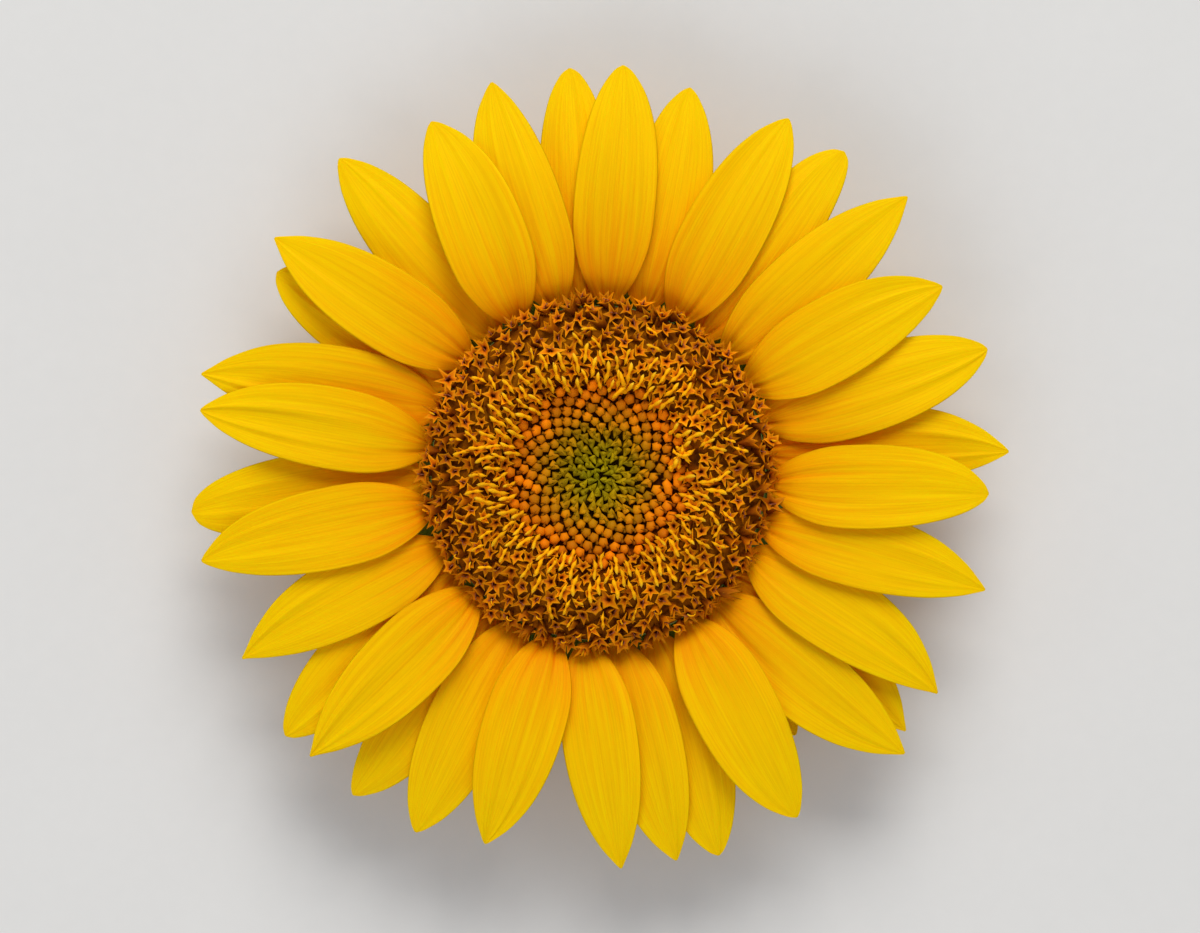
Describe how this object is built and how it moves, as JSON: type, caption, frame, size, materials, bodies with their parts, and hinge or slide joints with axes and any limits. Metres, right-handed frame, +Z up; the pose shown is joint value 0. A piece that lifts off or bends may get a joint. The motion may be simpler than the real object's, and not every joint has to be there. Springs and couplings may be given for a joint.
{
  "type": "sunflower head in bloom",
  "caption": "Open sunflower head, cut flush behind the receptacle and resting face up: golden rays, disc of florets in bud and in flower, green bracts",
  "frame": {"origin": "bottom centre of the whole head's box, on the surface that the cut stalk stands on; the head's own axis is 0.4 mm towards -X and 1.6 mm towards -Y of it, because the rays differ in length", "axes": "+Z up, out of the face of the flower; +Y and +X in the plane of the face, with ray_01 towards +X and the rays numbered anticlockwise seen from above"},
  "size_m": [0.2002, 0.1963, 0.0374],
  "materials": {
    "rays": "satin",
    "florets_green": "matte",
    "florets_orange": "matte",
    "florets_open": "matte",
    "florets_outer": "matte",
    "bracts": "matte",
    "receptacle": "matte"
  },
  "bodies": {
    "root": {"receptacle": "receptacle", "disc_buds_green": "florets_green", "disc_buds_orange": "florets_orange", "disc_florets_open": "florets_open", "disc_florets_outer": "florets_outer", "ray_01": "rays", "ray_02": "rays", "ray_03": "rays", "ray_04": "rays", "ray_05": "rays", "ray_06": "rays", "ray_07": "rays", "ray_08": "rays", "ray_09": "rays", "ray_10": "rays", "ray_11": "rays", "ray_12": "rays", "ray_13": "rays", "ray_14": "rays", "ray_15": "rays", "ray_16": "rays", "ray_17": "rays", "ray_18": "rays", "ray_19": "rays", "ray_20": "rays", "ray_21": "rays", "ray_22": "rays", "ray_23": "rays", "ray_24": "rays", "ray_25": "rays", "ray_26": "rays", "ray_27": "rays", "ray_28": "rays", "ray_29": "rays", "ray_30": "rays", "ray_31": "rays", "ray_32": "rays", "ray_33": "rays", "ray_34": "rays", "bract_01": "bracts", "bract_02": "bracts", "bract_03": "bracts", "bract_04": "bracts", "bract_05": "bracts", "bract_06": "bracts", "bract_07": "bracts", "bract_08": "bracts", "bract_09": "bracts", "bract_10": "bracts", "bract_11": "bracts", "bract_12": "bracts", "bract_13": "bracts", "bract_14": "bracts", "bract_15": "bracts", "bract_16": "bracts", "bract_17": "bracts", "bract_18": "bracts", "bract_19": "bracts", "bract_20": "bracts", "bract_21": "bracts"}
  },
  "joints": []
}
